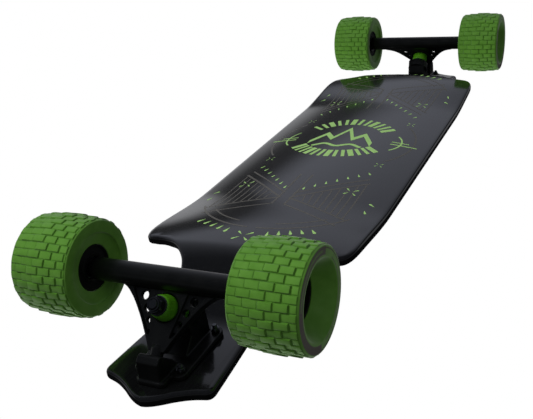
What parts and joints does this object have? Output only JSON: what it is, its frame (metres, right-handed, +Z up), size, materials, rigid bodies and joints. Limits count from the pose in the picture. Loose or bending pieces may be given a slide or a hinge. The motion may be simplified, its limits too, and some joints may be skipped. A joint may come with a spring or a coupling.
{
  "type": "drop-deck longboard",
  "caption": "Drop-deck longboard: concave platform with raised end plates, steering reverse-kingpin trucks, wide block-tread wheels. Stands on its wheels.",
  "frame": {"origin": "on the ground, midway between the two axles on the board's centreline", "axes": "+X to the nose along the board, +Y to the left, +Z up from the ground"},
  "size_m": [1.004, 0.2934, 0.136],
  "materials": {
    "lacquered_deck": "moulded maple laminate under black gloss lacquer",
    "grip_tape": "silicon carbide grit on a film",
    "truck_castings": "cast aluminium, satin black powder coat",
    "tyre": "matt green urethane rubber with a block tread",
    "wheel_core": "black glass-filled nylon",
    "pivot_cup": "black nylon",
    "bushing": "green cast urethane",
    "axle_steel": "ground steel",
    "bearing_steel": "ground bearing steel with black shields",
    "black_fasteners": "black oxide steel"
  },
  "bodies": {
    "board": {"deck": "lacquered_deck", "grip_tape": "grip_tape", "front_baseplate": "truck_castings", "front_pivot_cup": "pivot_cup", "front_kingpin": "black_fasteners", "front_roadside_bushing": "bushing", "front_boardside_bushing": "bushing", "front_roadside_washer": "black_fasteners", "front_boardside_washer": "black_fasteners", "front_kingpin_nut": "black_fasteners", "front_mounting_screw_1": "black_fasteners", "front_mounting_screw_2": "black_fasteners", "front_mounting_screw_3": "black_fasteners", "front_mounting_screw_4": "black_fasteners", "front_locknut_1": "black_fasteners", "front_locknut_2": "black_fasteners", "front_locknut_3": "black_fasteners", "front_locknut_4": "black_fasteners", "rear_baseplate": "truck_castings", "rear_pivot_cup": "pivot_cup", "rear_kingpin": "black_fasteners", "rear_roadside_bushing": "bushing", "rear_boardside_bushing": "bushing", "rear_roadside_washer": "black_fasteners", "rear_boardside_washer": "black_fasteners", "rear_kingpin_nut": "black_fasteners", "rear_mounting_screw_1": "black_fasteners", "rear_mounting_screw_2": "black_fasteners", "rear_mounting_screw_3": "black_fasteners", "rear_mounting_screw_4": "black_fasteners", "rear_locknut_1": "black_fasteners", "rear_locknut_2": "black_fasteners", "rear_locknut_3": "black_fasteners", "rear_locknut_4": "black_fasteners"},
    "front_axle_assembly": {"front_hanger": "truck_castings", "front_axle": "axle_steel", "front_left_axle_nut": "black_fasteners", "front_right_axle_nut": "black_fasteners"},
    "rear_axle_assembly": {"rear_hanger": "truck_castings", "rear_axle": "axle_steel", "rear_left_axle_nut": "black_fasteners", "rear_right_axle_nut": "black_fasteners"},
    "front_left_wheel": {"front_left_tyre": "tyre", "front_left_core": "wheel_core", "front_left_inner_bearing": "bearing_steel", "front_left_outer_bearing": "bearing_steel"},
    "front_right_wheel": {"front_right_tyre": "tyre", "front_right_core": "wheel_core", "front_right_inner_bearing": "bearing_steel", "front_right_outer_bearing": "bearing_steel"},
    "rear_left_wheel": {"rear_left_tyre": "tyre", "rear_left_core": "wheel_core", "rear_left_inner_bearing": "bearing_steel", "rear_left_outer_bearing": "bearing_steel"},
    "rear_right_wheel": {"rear_right_tyre": "tyre", "rear_right_core": "wheel_core", "rear_right_inner_bearing": "bearing_steel", "rear_right_outer_bearing": "bearing_steel"}
  },
  "joints": [
    {"name": "front_steer", "type": "hinge", "parent": "board", "child": "front_axle_assembly", "pos_m": [0.421, 0, 0.05265], "axis": [0.6626, 0, 0.749], "range_deg": [-20, 20], "stiffness_Nm_per_rad": 60, "deforming": ["front_roadside_bushing", "front_boardside_bushing"]},
    {"name": "rear_steer", "type": "hinge", "parent": "board", "child": "rear_axle_assembly", "pos_m": [-0.421, 0, 0.05265], "axis": [-0.6626, 0, 0.749], "range_deg": [-20, 20], "stiffness_Nm_per_rad": 60, "deforming": ["rear_roadside_bushing", "rear_boardside_bushing"]},
    {"name": "front_left_spin", "type": "hinge", "parent": "front_axle_assembly", "child": "front_left_wheel", "pos_m": [0.424, 0.1142, 0.05], "axis": [0, 1, 0], "continuous": true},
    {"name": "front_right_spin", "type": "hinge", "parent": "front_axle_assembly", "child": "front_right_wheel", "pos_m": [0.424, -0.1142, 0.05], "axis": [0, 1, 0], "continuous": true},
    {"name": "rear_left_spin", "type": "hinge", "parent": "rear_axle_assembly", "child": "rear_left_wheel", "pos_m": [-0.424, 0.1142, 0.05], "axis": [0, 1, 0], "continuous": true},
    {"name": "rear_right_spin", "type": "hinge", "parent": "rear_axle_assembly", "child": "rear_right_wheel", "pos_m": [-0.424, -0.1142, 0.05], "axis": [0, 1, 0], "continuous": true}
  ]
}
